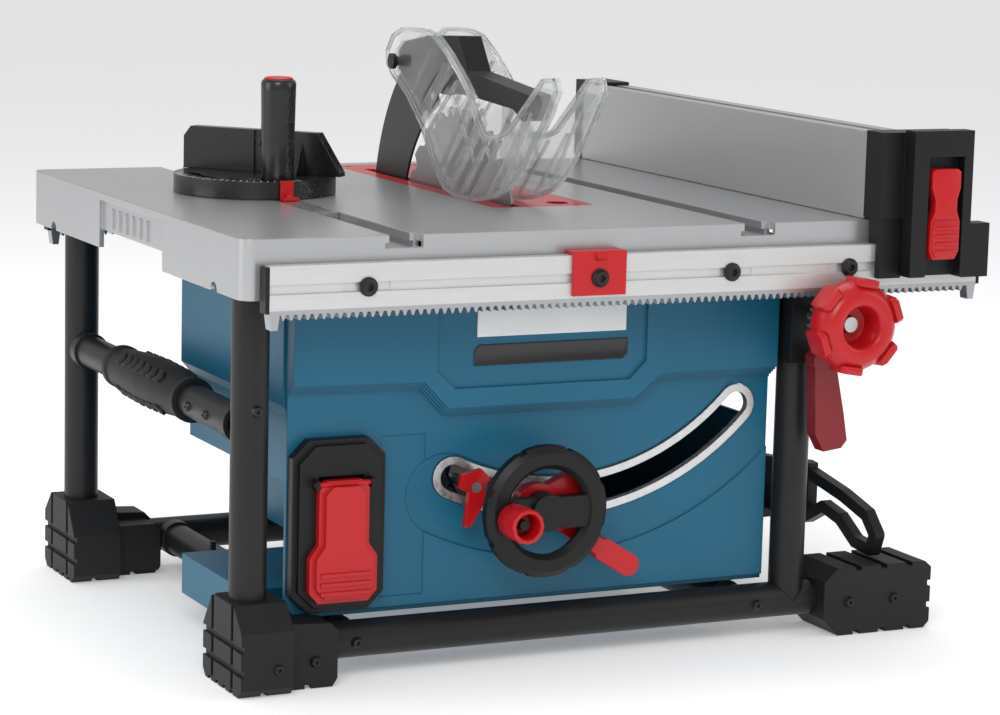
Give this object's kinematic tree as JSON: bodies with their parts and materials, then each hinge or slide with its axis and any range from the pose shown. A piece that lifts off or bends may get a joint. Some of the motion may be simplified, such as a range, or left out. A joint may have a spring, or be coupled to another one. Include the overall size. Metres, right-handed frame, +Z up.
{
  "type": "table saw",
  "caption": "Portable table saw on a tubular corner stand, with a rack-driven rip fence, mitre gauge, blade guard and tilting blade carriage.",
  "frame": {"origin": "centre of the saw's outline on the ground under its feet", "axes": "+X to the operator's right, +Y away from the operator, +Z up"},
  "size_m": [0.6154, 0.543, 0.467],
  "materials": {
    "cast_alloy": "ground and satin, pale grey",
    "red_plastic": "smooth bright red moulding",
    "dark_red_plastic": "smooth dark red moulding",
    "black_tube": "satin black powder coat",
    "black_rubber": "matte black moulded rubber",
    "black_plastic": "fine grained black moulding",
    "black_screw": "blackened steel",
    "blue_plastic": "satin teal-blue moulding",
    "green_plastic": "smooth green moulding",
    "galvanised_steel": "galvanised sheet, faintly mottled",
    "rail_alloy": "anodised extrusion, silver",
    "rack_steel": "machined grey steel",
    "bright_steel": "ground bright steel",
    "clear_plastic": "clear moulded polycarbonate"
  },
  "bodies": {
    "stand": {"table_top": "cast_alloy", "insert_plate": "red_plastic", "legs": "black_tube", "base_tubes": "black_tube", "side_tubes": "black_tube", "carry_grip": "black_rubber", "corner_feet": "black_rubber", "machine_screws": "black_screw", "housing_shell": "blue_plastic", "front_panel": "blue_plastic", "arc_trim": "galvanised_steel", "switch_plate": "black_plastic", "pinion_housings": "black_plastic", "push_stick_clips": "black_plastic", "battery_dock": "black_plastic", "trunnions": "galvanised_steel"},
    "paddle": {"stop_paddle": "red_plastic"},
    "button": {"start_button": "green_plastic"},
    "rails": {"front_rail": "rail_alloy", "rear_rail": "rail_alloy", "rack_strips": "rack_steel", "rail_end_caps": "black_plastic", "rail_bolts": "black_screw", "rail_clip": "red_plastic", "fence_beam": "rail_alloy", "fence_head": "black_plastic", "fence_rear_clamp": "black_plastic"},
    "pinion_set": {"pinion_shaft": "bright_steel", "pinions": "rack_steel", "fence_knob": "red_plastic"},
    "rail_lock": {"rail_lock_lever": "dark_red_plastic"},
    "fence_latch": {"fence_lever": "red_plastic"},
    "gauge_slider": {"gauge_bar": "bright_steel", "gauge_pointer": "red_plastic"},
    "gauge_head": {"gauge_base": "black_plastic", "gauge_plate": "black_plastic"},
    "gauge_grip": {"gauge_handle": "black_plastic"},
    "stick": {"push_stick": "black_plastic"},
    "pack": {"battery_pack": "black_plastic"},
    "carriage": {"carriage_frame": "galvanised_steel", "lift_posts": "bright_steel", "bevel_pointer": "red_plastic"},
    "screw": {"lead_screw": "rack_steel"},
    "lift": {"lift_block": "rail_alloy", "motor_housing": "black_plastic", "arbor_bearings": "bright_steel", "riving_knife": "black_screw"},
    "rotor": {"motor_rotor": "bright_steel"},
    "arbor": {"arbor_shaft": "bright_steel", "arbor_gear": "rack_steel", "saw_blade": "bright_steel", "blade_flanges": "bright_steel", "arbor_nut": "black_screw"},
    "guard_mid": {"guard_arm": "black_plastic"},
    "guard_l": {"guard_left": "clear_plastic"},
    "guard_r": {"guard_right": "clear_plastic"},
    "wheel": {"handwheel": "black_plastic", "wheel_shaft": "bright_steel"},
    "crank": {"crank_handle": "red_plastic"},
    "lock": {"bevel_lock": "red_plastic"}
  },
  "joints": [
    {"name": "stop_paddle", "type": "hinge", "parent": "stand", "child": "paddle", "pos_m": [-0.21175, -0.1925, 0.1495], "axis": [-1, 0, 0], "range_deg": [0, 60]},
    {"name": "start_button", "type": "slide", "parent": "stand", "child": "button", "axis": [0, 1, 0], "range_m": [0, 0.003], "stiffness_N_per_m": 600},
    {"name": "rail_slide", "type": "slide", "parent": "stand", "child": "rails", "axis": [1, 0, 0], "range_m": [0, 0.15]},
    {"name": "knob_spin", "type": "hinge", "parent": "stand", "child": "pinion_set", "pos_m": [0.18125, -0.2265, 0.2598], "axis": [0, 1, 0], "range_deg": [0, 392]},
    {"name": "rail_lock", "type": "hinge", "parent": "stand", "child": "rail_lock", "pos_m": [0.17925, -0.2165, 0.2268], "axis": [0, -1, 0], "range_deg": [0, 70]},
    {"name": "fence_latch", "type": "hinge", "parent": "rails", "child": "fence_latch", "pos_m": [0.25825, -0.2555, 0.376], "axis": [-1, 0, 0], "range_deg": [0, 60]},
    {"name": "gauge_slide", "type": "slide", "parent": "stand", "child": "gauge_slider", "axis": [0, -1, 0], "range_m": [0, 0.2]},
    {"name": "gauge_swivel", "type": "hinge", "parent": "gauge_slider", "child": "gauge_head", "pos_m": [-0.18475, 0.0635, 0.345], "axis": [0, 0, 1], "range_deg": [-13, 107]},
    {"name": "gauge_grip", "type": "hinge", "parent": "gauge_slider", "child": "gauge_grip", "pos_m": [-0.18475, 0.0155, 0.36], "axis": [0, 0, 1], "range_deg": [-90, 0]},
    {"name": "stick_lift", "type": "slide", "parent": "stand", "child": "stick", "axis": [0, 0, 1], "range_m": [0, 0.06]},
    {"name": "battery_slide", "type": "slide", "parent": "stand", "child": "pack", "axis": [0, 0, 1], "range_m": [0, 0.07]},
    {"name": "tilt", "type": "hinge", "parent": "stand", "child": "carriage", "pos_m": [-0.02275, -0.0265, 0.337], "axis": [0, -1, 0], "range_deg": [0, 45]},
    {"name": "lift", "type": "slide", "parent": "carriage", "child": "lift", "axis": [0, 0, 1], "range_m": [-0.07, 0]},
    {"name": "screw_spin", "type": "hinge", "parent": "carriage", "child": "screw", "pos_m": [-0.05744, -0.0665, 0.2], "axis": [0, 0, 1], "range_deg": [0, 1810]},
    {"name": "wheel_spin", "type": "hinge", "parent": "carriage", "child": "wheel", "pos_m": [-0.05744, -0.2165, 0.12279], "axis": [0, 1, 0], "range_deg": [-1810, 0]},
    {"name": "crank_spin", "type": "hinge", "parent": "wheel", "child": "crank", "pos_m": [-0.08827, -0.2365, 0.11955], "axis": [0, 1, 0], "continuous": true},
    {"name": "bevel_lock", "type": "hinge", "parent": "carriage", "child": "lock", "pos_m": [-0.05744, -0.1995, 0.12279], "axis": [0, 1, 0], "range_deg": [0, 40]},
    {"name": "arbor_spin", "type": "hinge", "parent": "lift", "child": "arbor", "pos_m": [-0.02275, 0.0215, 0.302], "axis": [1, 0, 0], "continuous": true},
    {"name": "rotor_spin", "type": "hinge", "parent": "lift", "child": "rotor", "pos_m": [-0.10775, 0.0215, 0.264], "axis": [1, 0, 0], "continuous": true},
    {"name": "guard_lift", "type": "hinge", "parent": "lift", "child": "guard_mid", "pos_m": [-0.02275, 0.1115, 0.437], "axis": [-1, 0, 0], "range_deg": [0, 32]},
    {"name": "guard_left_swing", "type": "hinge", "parent": "guard_mid", "child": "guard_l", "pos_m": [-0.02275, 0.1115, 0.437], "axis": [-1, 0, 0], "range_deg": [0, 11]},
    {"name": "guard_right_swing", "type": "hinge", "parent": "guard_mid", "child": "guard_r", "pos_m": [-0.02275, 0.1115, 0.437], "axis": [-1, 0, 0], "range_deg": [0, 30]}
  ],
  "couplings": [
    {"joint": "knob_spin", "follows": "rail_slide", "rad_per_m": 45.455},
    {"joint": "screw_spin", "follows": "lift", "rad_per_m": -448.8},
    {"joint": "wheel_spin", "follows": "lift", "rad_per_m": 448.8},
    {"joint": "guard_lift", "follows": "lift", "rad_per_m": -7.854},
    {"joint": "rotor_spin", "follows": "arbor_spin", "ratio": -2.1667},
    {"joint": "guard_left_swing", "follows": "tilt", "ratio": 0.2333}
  ]
}
